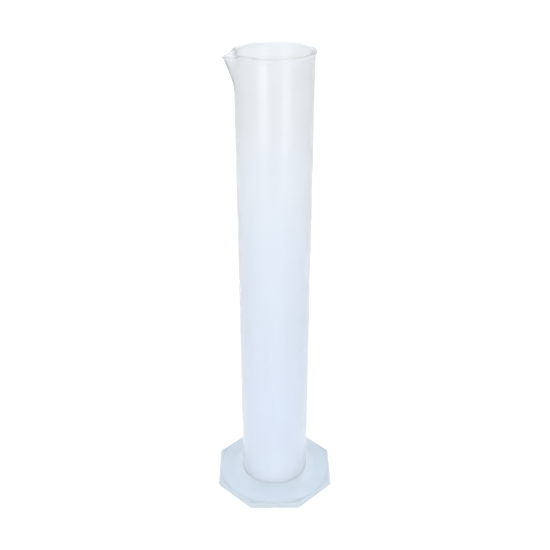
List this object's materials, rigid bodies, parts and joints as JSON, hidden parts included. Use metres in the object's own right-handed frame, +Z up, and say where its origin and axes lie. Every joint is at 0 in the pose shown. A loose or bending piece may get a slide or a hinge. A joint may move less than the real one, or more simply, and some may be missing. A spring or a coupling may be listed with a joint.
{
  "type": "rain measuring cylinder",
  "caption": "Tall translucent plastic measuring cylinder with a beaded rim and pouring spout, standing in the socket of a low octagonal foot.",
  "frame": {"origin": "on the table, under the middle of the octagonal foot, on the tube's axis", "axes": "+Z up along the tube; +X and +Y square to two of the foot's flats; the spout points to about 193 degrees from +X, towards -X and a little -Y"},
  "size_m": [0.0948, 0.0948, 0.36],
  "materials": {
    "tube_plastic": "milky translucent polypropylene, satin outside",
    "foot_plastic": "milky translucent polypropylene, satin, a little bluer than the tube"
  },
  "bodies": {
    "foot": {"octagonal_foot": "foot_plastic"},
    "tube": {"measuring_tube": "tube_plastic"}
  },
  "joints": [
    {"name": "tube_lift", "type": "slide", "parent": "foot", "child": "tube", "axis": [0, 0, 1], "range_m": [0, 0.03]}
  ]
}
